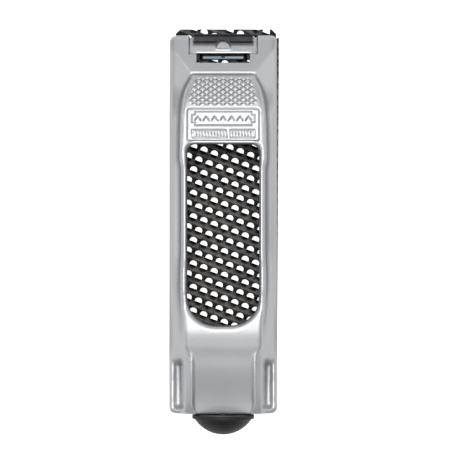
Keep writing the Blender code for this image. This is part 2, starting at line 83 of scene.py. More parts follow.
# Half-sections of the body's top, front to rear: y, then x and z of the end of the top face, its
# edge, the foot of the spine, the shoulder, the pocket floor, the outer rail; last the side edge z.
STATIONS = (
    (76.7, 10.4, 7.4, 12.0, 7.4, 12.7, 7.3, 16.0, 7.3, 18.0, 7.1, 19.6, 6.8),
    (75.9, 10.4, 8.1, 12.0, 8.1, 12.7, 8.1, 16.0, 8.0, 18.0, 7.8, 19.6, 7.4),
    (68.3, 10.4, 10.4, 12.0, 10.4, 12.7, 10.4, 16.0, 10.3, 17.7, 10.2, 19.6, 9.4),
    (60.6, 10.4, 12.5, 12.0, 12.4, 12.7, 12.2, 16.0, 11.2, 18.0, 10.5, 19.6, 9.9),
    (59.9, 10.5, 22.1, 12.0, 21.8, 12.7, 12.3, 16.0, 11.4, 18.0, 10.7, 19.6, 10.1),
    (58.9, 10.9, 22.3, 12.4, 22.0, 13.1, 12.4, 16.1, 11.6, 18.0, 10.9, 19.6, 10.3),
    (57.3, 11.6, 23.8, 13.2, 23.4, 13.9, 12.8, 16.6, 12.2, 18.2, 11.6, 19.6, 11.0),
    (54.7, 12.8, 25.2, 14.4, 24.8, 15.1, 13.2, 17.0, 12.7, 18.4, 12.1, 19.7, 11.5),
    (50.0, 13.8, 27.1, 15.4, 26.7, 16.1, 13.6, 17.4, 13.1, 18.5, 12.6, 19.7, 12.0),
    (44.5, 14.3, 28.0, 15.9, 27.6, 16.6, 13.8, 17.5, 13.3, 18.6, 12.7, 19.8, 12.1),
    (28.5, 14.7, 28.2, 16.3, 27.8, 17.0, 14.0, 17.8, 13.5, 18.7, 12.9, 19.8, 12.2),
    (23.5, 14.6, 28.2, 15.7, 27.8, 16.4, 14.1, 17.5, 13.6, 18.6, 13.0, 19.8, 12.3),
    (-7.0, 14.6, 28.2, 15.7, 27.8, 16.4, 14.3, 17.5, 13.8, 18.6, 13.1, 19.8, 12.4),
    (-19.0, 14.7, 28.2, 16.0, 27.7, 16.7, 15.4, 17.7, 14.8, 18.8, 13.9, 19.9, 12.9),
    (-30.0, 14.6, 28.1, 15.6, 27.6, 16.3, 18.9, 17.6, 17.6, 18.9, 16.1, 19.9, 14.0),
    (-38.0, 14.0, 27.8, 15.2, 27.2, 15.8, 22.0, 17.4, 20.4, 18.9, 18.1, 19.9, 14.9),
    (-44.0, 13.9, 26.7, 15.1, 26.2, 15.7, 23.7, 17.0, 21.4, 18.7, 18.6, 19.9, 15.3),
    (-48.6, 11.2, 25.4, 12.4, 26.0, 14.9, 23.4, 16.8, 19.6, 18.5, 17.3, 19.8, 15.2),
    (-52.5, 11.1, 24.4, 12.2, 25.5, 15.1, 22.6, 16.5, 14.0, 18.2, 13.6, 19.6, 15.0),
    (-66.5, 11.1, 20.0, 12.2, 21.4, 15.1, 19.0, 16.5, 13.2, 18.2, 13.0, 19.6, 14.6),
    (-68.3, 10.8, 19.55, 12.0, 20.7, 15.0, 18.6, 16.5, 13.6, 18.2, 13.3, 19.6, 14.5),
    (-69.6, 10.2, 19.25, 11.7, 20.0, 14.8, 18.3, 16.5, 16.0, 18.2, 15.2, 19.6, 14.3),
    (-71.2, 9.6, 18.95, 11.3, 19.4, 14.6, 17.8, 16.5, 15.3, 18.2, 14.6, 19.5, 13.8),
)

# Blade.
BLADE_FRONT = 79.3
BLADE_REAR = -60.2
BLADE_LEFT = -19.85
BLADE_RIGHT = 21.95
SHEET = 0.7
SHEET_TOP = 1.6
TOOTH = 0.88
FLANGE_TOP = 5.5
BEND = 1.1
NOTCH_PITCH = 4.53
NOTCH_DEPTH = 0.75
RIGHT_SKEW = 0.0065
STRAP_THICK = 0.88
STRAP_HALF = 11.9
STEP_ACROSS = Vector((4.08, -1.5))
STEP_ALONG = Vector((2.05, 3.885))
LATTICE_START = Vector((-11.55, -3.3))
ALONG = STEP_ACROSS.normalized()
FORWARD = Vector((-ALONG.y, ALONG.x))


# ---------------------------------------------------------------- materials


class Nodes:
    """Adds shader nodes with their settings and links in one call."""

    def __init__(self, name):
        self.material = bpy.data.materials.new(name)
        self.material.use_nodes = True
        self.tree = self.material.node_tree
        self.shader = self.tree.nodes["Principled BSDF"]

    def add(self, kind, settings=(), **inputs):
        node = self.tree.nodes.new(kind)
        for key, value in dict(settings).items():
            setattr(node, key, value)
        for key, value in inputs.items():
            socket = node.inputs[int(key[1:])] if key[0] == "_" else node.inputs[key]
            self.feed(socket, value)
        return node

    def feed(self, socket, value):
        if isinstance(value, bpy.types.NodeSocket):
            self.tree.links.new(value, socket)
        else:
            socket.default_value = value

    def noise(self, scale, detail=4.0, rough=0.55, stretch=(1, 1, 1)):
        where = self.add("ShaderNodeTexCoord").outputs["Object"]
        spread = self.add("ShaderNodeMapping", Vector=where, Scale=stretch).outputs[0]
        node = self.add("ShaderNodeTexNoise", Vector=spread, Scale=scale, Detail=detail, Roughness=rough)
        return node.outputs["Fac"]

    def ramp(self, fac, *stops):
        node = self.add("ShaderNodeValToRGB", Fac=fac)
        marks = node.color_ramp.elements
        while len(marks) < len(stops):
            marks.new(0.5)
        for mark, (place, value) in zip(marks, stops):
            mark.position = place
            mark.color = (value, value, value, 1) if isinstance(value, float) else (*value, 1)
        return node.outputs["Color"]

    def mix(self, fac, a, b):
        node = self.add("ShaderNodeMix", {"data_type": "RGBA"})
        self.feed(node.inputs[0], fac)
        self.feed(node.inputs[6], (*a, 1) if isinstance(a, tuple) else a)
        self.feed(node.inputs[7], (*b, 1) if isinstance(b, tuple) else b)
        return node.outputs[2]

    def math(self, how, a, b=0.0):
        return self.add("ShaderNodeMath", {"operation": how}, _0=a, _1=b).outputs[0]

    def bump(self, height, strength, distance, under=None):
        node = self.add("ShaderNodeBump", Strength=strength, Distance=distance, Height=height)
        if under:
            self.feed(node.inputs["Normal"], under)
        return node.outputs["Normal"]

    def mask(self, name):
        return self.add("ShaderNodeAttribute", {"attribute_name": name}).outputs["Fac"]

    def finish(self, **inputs):
        for key, value in inputs.items():
            self.feed(self.shader.inputs[key.replace("_", " ")], value)
        return self.material


def cast_silver():
    """Silver-painted die casting: fine metallic grain, soft blotches, painted shade in creases and
    recesses, and brighter edges that are partly worn paint and partly a painted highlight.
    """
    n = Nodes("cast_silver")
    grain = n.noise(5200, 2.0, 0.7)
    blotch = n.noise(55, 5.0)
    fleck = n.ramp(grain, (0.3, 0.0), (0.7, 1.0))
    colour = n.mix(blotch, (0.565, 0.572, 0.585), (0.635, 0.638, 0.645))
    colour = n.mix(n.math("MULTIPLY", fleck, 0.25), colour, (0.80, 0.81, 0.82))
    # Painted shade: creases, recesses and concave corners are darkened towards near black.
    colour = n.mix(n.math("MULTIPLY", n.mask("painted_shade"), 0.80), colour, (0.17, 0.175, 0.19))
    # Partly worn paint and partly a painted highlight: the casting's rounded, standing-out edges are
    # lightened.
    colour = n.mix(n.math("MULTIPLY", n.mask("edge"), 0.85), colour, (0.90, 0.905, 0.91))
    rough = n.ramp(blotch, (0.25, 0.34), (0.75, 0.43))
    normal = n.bump(n.noise(900, 3.0), 0.10, 0.0002)
    normal = n.bump(grain, 0.16, 0.00006, normal)
    return n.finish(Base_Color=colour, Roughness=rough, Metallic=0.82, Normal=normal)


def blade_steel():
    """Hardened dark steel: brown and blue mottling, oily sheen, bare bright tooth edges, and painted shade:
    black bands along the rows of teeth and black in each scooped tooth.
    """
    n = Nodes("dark_blade_steel")
    mottle = n.noise(420, 6.0, 0.65)
    heat = n.noise(160, 4.0)
    colour = n.mix(n.ramp(mottle, (0.35, 0.0), (0.70, 1.0)), (0.014, 0.013, 0.0135), (0.150, 0.140, 0.130))
    colour = n.mix(n.ramp(heat, (0.5, 0.0), (0.72, 0.45)), colour, (0.030, 0.038, 0.055))
    # Painted shadow: a black band along each row of teeth, standing in for the shade of the pressed
    # recesses beside each opening.
    place = n.add("ShaderNodeTexCoord").outputs["Object"]
    facing = (FORWARD.x, FORWARD.y, 0.0)
    row = n.add("ShaderNodeVectorMath", {"operation": "DOT_PRODUCT"}, _0=place, _1=facing).outputs["Value"]
    pitch = STEP_ALONG.dot(FORWARD)
    turn = n.math("ADD", n.math("MULTIPLY", row, 1000.0 / pitch), 40.5 - LATTICE_START.dot(FORWARD) / pitch)
    away = n.math("ABSOLUTE", n.math("SUBTRACT", n.math("FRACT", turn), 0.5))
    ragged = n.math("ADD", away, n.math("MULTIPLY", n.math("SUBTRACT", mottle, 0.5), 0.16))
    colour = n.mix(n.ramp(ragged, (0.20, 0.95), (0.30, 0.0)), colour, (0.003, 0.003, 0.0035))
    colour = n.mix(n.math("MULTIPLY", n.mask("edge"), 0.75), colour, (0.42, 0.41, 0.40))
    # Painted shade: each scooped tooth is darkened to near black.
    colour = n.mix(n.mask("painted_shade"), colour, (0.002, 0.002, 0.002))
    rough = n.ramp(mottle, (0.3, 0.30), (0.75, 0.52))
    normal = n.bump(n.noise(1500, 3.0), 0.25, 0.00008)
    return n.finish(Base_Color=colour, Roughness=rough, Metallic=0.85, Normal=normal)


def strap_steel():
    """Rolled strap: grey-black with fine lengthwise scratches, worn corners, and a painted bluish
    reflection along the raised band of the pressed channel.
    """
    n = Nodes("strap_steel")
    streak = n.noise(900, 3.0, 0.6, (0.12, 1, 1))
    mottle = n.noise(260, 5.0)
    colour = n.mix(streak, (0.010, 0.0105, 0.0115), (0.026, 0.027, 0.030))
    colour = n.mix(n.ramp(mottle, (0.45, 0.0), (0.75, 0.6)), colour, (0.045, 0.038, 0.033))
    colour = n.mix(n.math("MULTIPLY", n.mask("edge"), 0.5), colour, (0.22, 0.225, 0.235))
    # Painted reflection: a bluish bright band where the pressed channel bulges up.
    colour = n.mix(n.mask("painted_reflection"), colour, (0.15, 0.175, 0.215))
    rough = n.ramp(streak, (0.2, 0.28), (0.8, 0.42))
    normal = n.bump(streak, 0.12, 0.00005)
    return n.finish(Base_Color=colour, Roughness=rough, Metallic=0.95, Normal=normal)


def zinc_plate():
    """Zinc-plated steel with a faint yellow cast and fine drawn lines."""
    n = Nodes("zinc_plate")
    cloud = n.noise(300, 5.0)
    lines = n.noise(2600, 2.0, 0.6, (1, 0.08, 1))
    colour = n.mix(cloud, (0.50, 0.50, 0.47), (0.66, 0.65, 0.58))
    rough = n.ramp(cloud, (0.3, 0.24), (0.7, 0.38))
    normal = n.bump(lines, 0.10, 0.00004)
    return n.finish(Base_Color=colour, Roughness=rough, Metallic=1.0, Normal=normal)


def black_plastic():
    """Moulded black plastic: fine spark texture, a slight sheen and small scuffs."""
    n = Nodes("black_plastic")
    spark = n.noise(3800, 3.0)
    cloud = n.noise(140, 4.0)
    colour = n.mix(cloud, (0.004, 0.004, 0.0043), (0.010, 0.0098, 0.0095))
    colour = n.mix(n.math("MULTIPLY", n.mask("edge"), 0.3), colour, (0.07, 0.07, 0.07))
    rough = n.ramp(cloud, (0.3, 0.36), (0.75, 0.50))
    normal = n.bump(spark, 0.22, 0.00005)
    return n.finish(Base_Color=colour, Roughness=rough, Normal=normal, Specular_IOR_Level=0.3)


def floor_white():
    """Plain pale floor, which glows to the camera only and so stays white and unshadowed."""
    n = Nodes("floor_white")
    colour = n.mix(n.noise(3, 2.0), (0.95, 0.95, 0.95), (0.97, 0.97, 0.97))
    seen = n.add("ShaderNodeLightPath").outputs["Is Camera Ray"]
    glow = n.math("MULTIPLY", seen, FLOOR_SEEN)
    return n.finish(
        Base_Color=colour, Roughness=0.9, Emission_Color=(1, 1, 1, 1), Emission_Strength=glow
    )


# ---------------------------------------------------------------- meshes


def make_object(name, points, faces, material, body=None, replaced=(), masks=None, sharp=None):
    """Makes a mesh object from millimetre points, with float masks on its points."""
    mesh = bpy.data.meshes.new(name)
    mesh.from_pydata((np.asarray(points, float) * MM).tolist(), [], faces)
    mesh.shade_smooth()
    if sharp:
        mesh.set_sharp_from_angle(angle=math.radians(sharp))
    for key, values in (masks or {}).items():
        mesh.attributes.new(key, "FLOAT", "POINT").data.foreach_set("value", np.asarray(values, np.float32))
    mesh.materials.append(material)
    obj = bpy.data.objects.new(name, mesh)
    bpy.context.scene.collection.objects.link(obj)
    if body:
        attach(obj, body)
        if replaced:
            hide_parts(*replaced)
    return obj


def faced_outward(obj):
    """Turns every face of a closed mesh outward."""
    bm = bmesh.new()
    bm.from_mesh(obj.data)
    bmesh.ops.recalc_face_normals(bm, faces=bm.faces)
    bm.to_mesh(obj.data)
    bm.free()
    return obj


def smooth_step(value, low, high):
    """0 below low, 1 above high, smooth between."""
    t = np.clip((value - low) / (high - low), 0.0, 1.0)
    return t * t * (3.0 - 2.0 * t)


def soft_max(a, b, k):
    """The larger of two fields, with the corner between them rounded over k."""
    h = np.maximum(k - np.abs(a - b), 0.0) / k
    return np.maximum(a, b) + h * h * k * 0.25


def soft_min(a, b, k):
    """The smaller of two fields, with the corner between them filled over k."""
    return -soft_max(-a, -b, k)


def smooth_columns(ys):
    """Every station column at each y, with slopes that never overshoot."""
    table = np.array(STATIONS[::-1])
    knots = table[:, 0]
    gap = np.diff(knots)[:, None]
    rise = np.diff(table[:, 1:], axis=0) / gap
    slope = np.zeros_like(table[:, 1:])
    a, b = rise[:-1], rise[1:]
    w1, w2 = 2 * gap[1:] + gap[:-1], gap[1:] + 2 * gap[:-1]
    same = a * b > 0
    safe_a, safe_b = np.where(same, a, 1.0), np.where(same, b, 1.0)
    slope[1:-1] = np.where(same, (w1 + w2) / (w1 / safe_a + w2 / safe_b), 0.0)
    y = np.clip(ys, knots[0], knots[-1])
    k = np.clip(np.searchsorted(knots, y, side="right") - 1, 0, len(knots) - 2)
    t = ((y - knots[k]) / gap[k, 0])[:, None]
    h = gap[k]
    low, high = table[k, 1:], table[k + 1, 1:]
    value = (2 * t**3 - 3 * t**2 + 1) * low + (t**3 - 2 * t**2 + t) * h * slope[k]
    return value + (3 * t**2 - 2 * t**3) * high + (t**3 - t**2) * h * slope[k + 1]


def rounded_box(x, y, low, high, radius):
    """Distance to a rectangle with round corners, negative inside."""
    cx, cy = (low[0] + high[0]) / 2, (low[1] + high[1]) / 2
    qx = np.abs(x - cx) - (high[0] - low[0]) / 2 + radius
    qy = np.abs(y - cy) - (high[1] - low[1]) / 2 + radius
    return np.hypot(np.maximum(qx, 0), np.maximum(qy, 0)) + np.minimum(np.maximum(qx, qy), 0) - radius


def window_distance(x, y):
    """Distance to the chip window's outline: small corners in front, large ones behind."""
    front = rounded_box(x, y, (-WINDOW_HALF, -20.0), (WINDOW_HALF, WINDOW_FRONT), 3.6)
    rear = rounded_box(x, y, (-WINDOW_HALF, WINDOW_REAR), (WINDOW_HALF, 20.0), 11.6)
    return np.where(y > 0.0, front, rear)


def box3(x, y, z, low, high):
    """Distance-like field of a box, negative inside."""
    dx = np.maximum(low[0] - x, x - high[0])
    dy = np.maximum(low[1] - y, y - high[1])
    dz = np.maximum(low[2] - z, z - high[2])
    return np.maximum(np.maximum(dx, dy), dz)


def top_height(x, y):
    """Height of the body's top at grid points, before any rounding."""
    columns = smooth_columns(y)
    grid = np.empty((len(x), len(y)))
    for j in range(len(y)):
        row = columns[j]
        xs = np.concatenate(([0.0], row[0::2], [BODY_HALF]))
        zs = np.concatenate(([row[1]], row[1::2], [row[11] - 0.6]))
        grid[:, j] = np.interp(np.abs(x), xs, zs)
    # The nose: a deck sloping forward, meeting two side planes along slanted creases.
    side, along = np.abs(x)[:, None], y[None, :]
    crease = CREASE_Y + (side - CREASE_X) * CREASE_RUN
    nose = NOSE_Z + NOSE_SLOPE * (NOSE_Y - np.maximum(along, crease))
    nose = nose + SIDE_PLANE_SLOPE * np.maximum(crease - along, 0.0)
    outside = side > (columns[:, 4] - 0.35)[None, :]
    ahead = along > SPINE_FRONT
    share = smooth_step(along, 44.0, 57.0) * np.where(ahead, 1.0, outside)
    step = smooth_step(along, SPINE_FRONT, SPINE_FRONT + 0.4)
    share = np.where(ahead, np.where(side < 12.0, step, 1.0), share)
    return grid * (1 - share) + nose * share


def blur(grid, size, times):
    """Repeated box blur of a height grid."""
    kernel = np.ones(2 * size + 1) / (2 * size + 1)
    for _ in range(times):
        for axis in (0, 1):
            padded = np.pad(grid, [(size, size) if a == axis else (0, 0) for a in (0, 1)], mode="edge")
            grid = np.apply_along_axis(lambda line: np.convolve(line, kernel, "valid"), axis, padded)
    return grid


def casting_field():
    """The body's field on the grid, the grid's lowest corner, and the average height round each column."""
    x, y, z = (np.arange(low, high + CELL, CELL) for low, high in zip(GRID_LOW, GRID_HIGH))
    height = blur(top_height(x, y), 1, 2)
    slope_x, slope_y = np.gradient(height, CELL)
    lean = 1.0 / np.sqrt(1.0 + slope_x**2 + slope_y**2)
    gx, gy = np.meshgrid(x, y, indexing="ij")
    low, high = (-BODY_HALF, BODY_REAR), (BODY_HALF, BODY_FRONT)
    outline = rounded_box(gx, gy, low, high, CORNER_RADIUS)[:, :, None]
    level = z[None, None, :]
    body = (level - height[:, :, None]) * lean[:, :, None]
    # The rim of the window is rolled over.
    window = window_distance(gx, gy)[:, :, None]
    body = soft_max(body, -window, 2.6)
    edge_round = 0.8 + 1.8 * smooth_step(gy, -70.5, -66.0)[:, :, None]
    body = soft_max(body, outline, edge_round)
    body = soft_max(body, RIM - level, 0.5)
    # The hollow inside: the top surface pushed down by the wall's thickness, and drawn in.
    columns = smooth_columns(y)
    shoulder = np.minimum(columns[:, 11], columns[:, 9]) - 2.6
    wide = np.abs(gx)[:, :, None] - 16.9
    ends = np.maximum(gy - 66.9, -68.0 - gy)[:, :, None]
    low_hollow = soft_max(soft_max(level - shoulder[None, :, None], wide, 2.0), ends, 1.5)
    spine_half = np.minimum(columns[:, 2] - 2.0, 13.4)
    spine_top = columns[:, 1] - 2.8
    narrow = np.abs(gx)[:, :, None] - spine_half[None, :, None]
    ends = np.maximum(gy - 57.3, -67.6 - gy)[:, :, None]
    tall_hollow = soft_max(soft_max(level - spine_top[None, :, None], narrow, 2.4), ends, 2.0)
    body = soft_max(body, -soft_min(low_hollow, tall_hollow, 1.6), 0.9)
    gx, gy = gx[:, :, None], gy[:, :, None]
    # Front: recess over the ledge, with the boss, the slot, the gap in front and below.
    ledge = LEDGE_SLOPE * (gy - LEDGE_Y)
    recess = box3(gx, gy, level + ledge, (-RECESS_HALF, 69.0, 6.7), (RECESS_HALF, 90.0, 40.0))
    body = soft_max(body, -recess, 0.6)
    front_gap = box3(gx, gy, level, (-RECESS_HALF, 75.9, 0.0), (RECESS_HALF, 90.0, 40.0))
    body = soft_max(body, -front_gap, 0.6)
    boss = np.maximum(BOSS_FOOT - level, level - BOSS_TOP + ledge)
    boss = np.maximum(np.hypot(gx, gy - BOSS_Y) - BOSS_RADIUS, boss)
    body = soft_min(body, np.maximum(boss, 71.4 - gy), 0.9)
    slot = box3(gx, gy, level, (-10.4, 65.6, 0.0), (10.4, 69.4, 40.0))
    body = soft_max(body, -slot, 0.6)
    under = box3(gx, gy, level, (-12.8, 64.0, 0.0), (12.8, 90.0, 3.3))
    body = soft_max(body, -under, 0.4)
    rebate = box3(gx, gy, level, (-30.0, -61.3, 0.0), (-18.8, 90.0, 5.9))
    body = soft_max(body, -rebate, 0.4)
    # Rear wall: the screw's bore, clear room for the retaining ring, and the washer's seat.
    from_axis = np.hypot(gx, level - AXIS_Z)
    bore = np.maximum(from_axis - 2.85, gy + 66.0)
    body = soft_max(body, -bore, 0.3)
    ring_room = np.maximum(from_axis - 4.3, np.abs(gy + 65.8) - 1.95)
    body = soft_max(body, -ring_room, 0.2)
    seat = np.maximum(from_axis - 5.35, gy + 70.2)
    body = soft_max(body, -seat, 0.3)
    solid = body < 0.0
    tops = np.where(solid.any(axis=2), z[-1] - CELL * np.argmax(solid[:, :, ::-1], axis=2), 0.0)
    around = blur(np.where(tops > 2.0, tops, 0.0), round(1.5 / CELL), 2)
    weight = blur((tops > 2.0).astype(float), round(1.5 / CELL), 2)
    return body.astype(np.float32), (x[0], y[0], z[0]), around / np.maximum(weight, 0.05)


def crease_shade_mask(points, around):
    """Painted shade for creases and recesses: marks points a little below the ground round them, but not
    the deep walls of the window.
    """
    i = np.clip(((points[:, 0] - GRID_LOW[0]) / CELL).round().astype(int), 0, around.shape[0] - 1)
    j = np.clip(((points[:, 1] - GRID_LOW[1]) / CELL).round().astype(int), 0, around.shape[1] - 1)
    depth = around[i, j] - points[:, 2]
    return 0.75 * smooth_step(depth, 0.35, 2.6) * (1.0 - smooth_step(depth, 4.0, 7.0))


def diamonds(x, y):
    """Height of the crosshatched finger pad: rows of small flat-topped pyramids."""
    across, along = 3.15, 2.1
    u = (x / across + y / along) % 1.0
    v = (x / across - y / along) % 1.0
    edge = np.minimum(np.minimum(u, 1 - u), np.minimum(v, 1 - v))
    return smooth_step(edge, 0.06, 0.26)


def chevrons(x, y):
    """A row of raised forward-pointing marks, in place of lettering."""
    pitch = 3.25
    across = np.abs((x / pitch + 0.5) % 1.0 - 0.5) * pitch
    rise = y - 43.1 + 1.25 * across - 0.8
    return (np.abs(rise) < 0.40) & (across < 1.3) & (np.abs(x) < 11.2)


def relief(x, y):
    """Extra height drawn on the top face: finger pad, frame line and raised plates."""
    taper = 1.0 - smooth_step(y, 49.0, 58.0)
    half = 11.5 + 1.85 * taper
    pad = -rounded_box(x / half, y / 5.35, (-1, 9.03), (1, 11.03), 0.28)
    pad = smooth_step(pad, 0.0, 0.06)
    raised = pad * (0.50 * diamonds(x, y) - 0.30)
    line = np.abs(rounded_box(x, y, (-13.8, 34.35), (13.8, 46.95), 1.0))
    raised -= 0.36 * (1.0 - smooth_step(line, 0.14, 0.42))
    in_x, in_y = 12.3 - np.abs(x - 0.1), 2.9 - np.abs(y - 43.1)
    wide = np.maximum(-np.minimum(in_x, in_y), np.minimum(1.2 - in_x, 1.2 - in_y))
    left = rounded_box(x + 0.12 * (y - 37.0), y, (-12.1, 35.5), (1.6, 38.9), 0.3)
    right = rounded_box(x, y, (2.4, 35.5), (12.4, 38.9), 0.3)
    small = np.minimum(left, right)
    raised -= 0.34 * (1.0 - smooth_step(np.abs(wide + 0.25), 0.12, 0.36))
    raised -= 0.34 * chevrons(x, y) * (wide < -0.5)
    raised -= 0.34 * (1.0 - smooth_step(np.abs(small + 0.2), 0.10, 0.32))
    ribs = smooth_step(np.cos(2 * math.pi * (x + 0.12 * y) / 1.16), -0.1, 0.7)
    raised -= 0.32 * ribs * (small < -0.62)
    return raised


def vertex_normals(mesh):
    """The mesh's point normals as an array."""
    normal = np.empty(len(mesh.vertices) * 3)
    mesh.vertex_normals.foreach_get("vector", normal)
    return normal.reshape(-1, 3)


def build_casting(material):
    """Turns the field into the casting's mesh, then refines and dresses the top face."""
    field, corner, around = casting_field()
    grid = openvdb.FloatGrid(3.0)
    grid.copyFromArray(field)
    points, quads = grid.convertToQuads(0.0)
    points = points * CELL + np.array(corner)
    mesh = bpy.data.meshes.new("field")
    mesh.from_pydata(points.tolist(), [], quads[:, ::-1].tolist())
    bm = bmesh.new()
    bm.from_mesh(mesh)
    bm.normal_update()
    top = [f for f in bm.faces if f.normal.z > 0.55 and f.calc_center_median().z > TOP_FLOOR]
    low, high = 34.0, 61.0
    top = [f for f in top if low < f.calc_center_median().y < high and abs(f.calc_center_median().x) < 14.6]
    edges = list({e for f in top for e in f.edges})
    bmesh.ops.subdivide_edges(bm, edges=edges, cuts=1, use_grid_fill=True)
    bmesh.ops.triangulate(bm, faces=[f for f in bm.faces if len(f.verts) > 4])
    bmesh.ops.recalc_face_normals(bm, faces=bm.faces)
    bm.to_mesh(mesh)
    bm.free()
    points = np.empty(len(mesh.vertices) * 3)
    mesh.vertices.foreach_get("co", points)
    points = points.reshape(-1, 3)
    normal = vertex_normals(mesh)
    on_top = (normal[:, 2] > 0.5) & (points[:, 2] > TOP_FLOOR)
    lift = np.where(on_top, relief(points[:, 0], points[:, 1]), 0.0)
    points = points + normal * lift[:, None]
    edge, painted_shade = curvature_masks(points, mesh)
    # Painted shade: concave corners and points sunk below their surroundings, on faces that do not point
    # down.
    painted_shade = np.maximum(painted_shade, np.where(normal[:, 2] > -0.2, crease_shade_mask(points, around), 0.0))
    faces = [tuple(p.vertices) for p in mesh.polygons]
    masks = {"edge": edge, "painted_shade": painted_shade}
    return make_object(
        "body_shell", points, faces, material, "tool_body", ("body_casting",), masks
    )


def curvature_masks(points, mesh):
    """How far each point stands out of, or sinks below, its neighbours' average: the first mask lightens
    standing-out edges as worn paint and a painted highlight, the second darkens sunken points as painted
    shade.
    """
    ends = np.empty(len(mesh.edges) * 2, np.int64)
    mesh.edges.foreach_get("vertices", ends)
    a, b = ends.reshape(-1, 2).T
    mesh.vertices.foreach_set("co", points.ravel())
    mesh.update()
    normal = vertex_normals(mesh)
    count = np.bincount(a, minlength=len(points)) + np.bincount(b, minlength=len(points))
    curve = np.zeros(len(points))
    for k in range(3):
        total = np.bincount(a, points[b, k], len(points)) + np.bincount(b, points[a, k], len(points))
        curve += (total / np.maximum(count, 1) - points[:, k]) * normal[:, k]
    for _ in range(2):
        total = np.bincount(a, curve[b], len(points)) + np.bincount(b, curve[a], len(points))
        curve = 0.5 * curve + 0.5 * total / np.maximum(count, 1)
    edge = smooth_step(-curve / CELL, 0.02, 0.10)
    painted_shade = smooth_step(curve / CELL, 0.03, 0.15)
    return edge, painted_shade


def tooth_outline():
    """The opening in tooth coordinates (along, forward): the cutting edge, then the arch."""
    half, deep = 1.45, 1.78
    edge = [(half * t, 0.0) for t in np.linspace(-1, 1, 7)]
    arch = []
    for i in range(1, 9):
        angle = math.pi * i / 9
        arch.append((half * math.cos(angle), 0.35 + (deep - 0.35) * math.sin(angle) ** 0.9))
    return edge, arch


def build_blade(material):
    """The toothed sheet: arched openings, each with a scooped tooth behind its cutting edge."""
    edge, arch = tooth_outline()
    behind = [(u, -0.45) for u in (-1.3, -0.75, 0.0, 0.75, 1.3)]
    behind += [(u, -1.0) for u in (-0.95, 0.0, 0.95)]
    behind += [(u, -1.5) for u in (-1.1, 0.0, 1.1)]
    left, right = BLADE_LEFT + BEND, BLADE_RIGHT - BEND
    far = BLADE_FRONT + 6.0
    points = [Vector(p) for p in ((left, BLADE_REAR), (right, BLADE_REAR), (right, far), (left, far))]
    rim = len(points)
    loops = [list(range(rim))]
    sink, shine, owner = [0.0] * rim, [0.0] * rim, {}
    for n in range(-40, 41):
        for m in range(-40, 41):
            middle = LATTICE_START + STEP_ACROSS * n + STEP_ALONG * m - FORWARD * 1.0
            outline = [middle + ALONG * u + FORWARD * v for u, v in edge + arch]
            inside = all(left + 0.3 < p.x < right - 0.3 for p in outline)
            if not inside or min(p.y for p in outline) < BLADE_REAR + 0.4:
                continue
            if max(p.y for p in outline) > far - 0.35:
                continue
            first = len(points)
            points += outline
            loops.append(list(range(first, len(points))))
            owner.update({i: first for i in range(first, len(points))})
            for u, v in edge:
                sink.append(TOOTH * max(1 - (u / 1.5) ** 2, 0.0) ** 0.8)
                shine.append(1.0 if abs(u) < 1.4 else 0.4)
            sink += [0.0] * len(arch)
            shine += [0.12] * len(arch)
            for u, v in behind:
                spot = middle + ALONG * u + FORWARD * v
                if not (left + 0.2 < spot.x < right - 0.2 and BLADE_REAR + 0.2 < spot.y):
                    continue
                points.append(spot)
                fall = max(1 - (-v / 1.5), 0.0) ** 1.3
                sink.append(TOOTH * fall * max(1 - (u / 1.6) ** 2, 0.0))
                shine.append(0.25 if v > -0.5 else 0.0)
    edges = [(loop[i], loop[(i + 1) % len(loop)]) for loop in loops for i in range(len(loop))]
    flat, _, faces, sources, _, _ = delaunay_2d_cdt(points, edges, [], 1, 1e-5)
    old = [s[0] if s else 0 for s in sources]
    owners = [owner.get(o) for o in old]
    top = [(p.x, p.y, SHEET_TOP - sink[o]) for p, o in zip(flat, old)]
    bottom = [(p.x, p.y, SHEET_TOP - SHEET - sink[o]) for p, o in zip(flat, old)]
    count = len(flat)
    out, border = [], {}
    for face in faces:
        hole = {owners[i] for i in face}
        if len(hole) == 1 and None not in hole:
            continue
        out.append(tuple(face))
        out.append(tuple(i + count for i in reversed(face)))
        for i, a in enumerate(face):
            b = face[(i + 1) % len(face)]
            if (b, a) in border:
                del border[(b, a)]
            else:
                border[(a, b)] = True
    out += [(b, a, a + count, b + count) for a, b in border]
    wear = [shine[o] for o in old]
    # Painted shade: the top of each scooped tooth is darkened towards black by its depth.
    dark = [min(1.0, 1.6 * sink[o] / TOOTH) for o in old]
    masks = {"edge": [0.0] * count + wear, "painted_shade": dark + [0.0] * count}
    sheet = make_object(
        "blade_sheet", top + bottom, out, material, "tool_body", ("blade",), masks
    )
    trim(sheet, (0, BLADE_FRONT, 0), (0, 1, 0))
    trim(sheet, (left, BLADE_FRONT - 1.8, 0), (-1, 1, 0))
    trim(sheet, (right, BLADE_FRONT - 1.8, 0), (1, 1, 0))
    sheet.data.set_sharp_from_angle(angle=math.radians(50))
    return sheet


def trim(obj, place, outward):
    """Cuts off what lies outward of a plane and closes the cut."""
    bm = bmesh.new()
    bm.from_mesh(obj.data)
    made = bmesh.ops.bisect_plane(
        bm,
        geom=bm.verts[:] + bm.edges[:] + bm.faces[:],
        dist=1e-8,
        plane_co=Vector(place) * MM,
        plane_no=Vector(outward).normalized(),
        clear_outer=True,
    )
    cut = [e for e in made["geom_cut"] if isinstance(e, bmesh.types.BMEdge) and e.is_boundary]
    bmesh.ops.edgenet_fill(bm, edges=cut)
    bmesh.ops.recalc_face_normals(bm, faces=bm.faces)
    bm.to_mesh(obj.data)
    bm.free()


